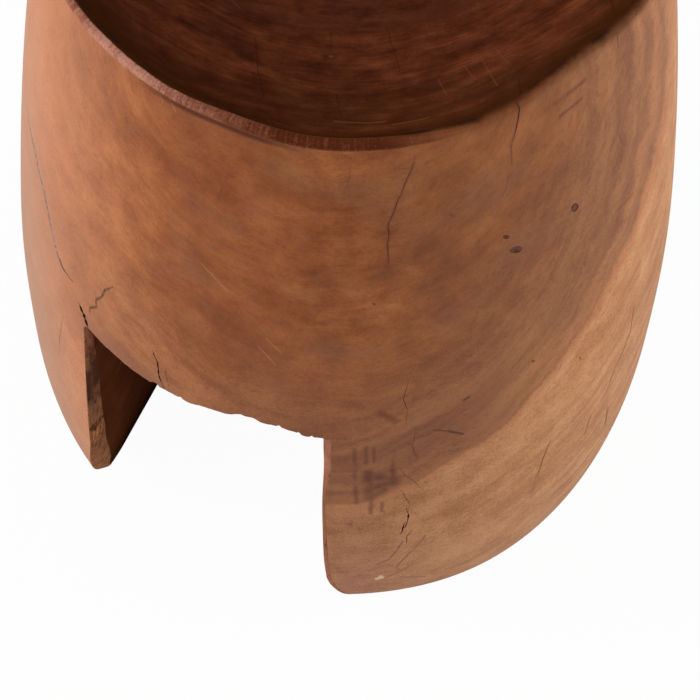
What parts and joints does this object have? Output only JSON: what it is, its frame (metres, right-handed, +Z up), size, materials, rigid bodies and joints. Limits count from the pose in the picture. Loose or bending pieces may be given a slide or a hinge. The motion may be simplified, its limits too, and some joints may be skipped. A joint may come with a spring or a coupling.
{
  "type": "carved wooden stool",
  "caption": "Low barrel-shaped stool carved from one log, with a dished saddle seat, a sloping channel cut through its base to leave slab legs, and filled holes and cracks.",
  "frame": {"origin": "on the floor, under the middle of the stool's outer box", "axes": "+Z up, -Y towards the front, where the channel's mouth and the low edge of the seat show, +X to the sitter's right as seen from the front"},
  "size_m": [0.4204, 0.4168, 0.3959],
  "materials": {
    "heartwood": "oiled and worn, polished on the seat",
    "hole_filler": "dark resin and dust, dull",
    "crack_filler": "grey-brown paste, dull"
  },
  "bodies": {
    "root": {"trunk": "heartwood", "oval_hole_plug": "hole_filler", "double_hole_plug": "hole_filler", "small_hole_plug": "hole_filler", "corner_crack_fill": "crack_filler", "side_check_fill": "crack_filler"}
  },
  "joints": []
}
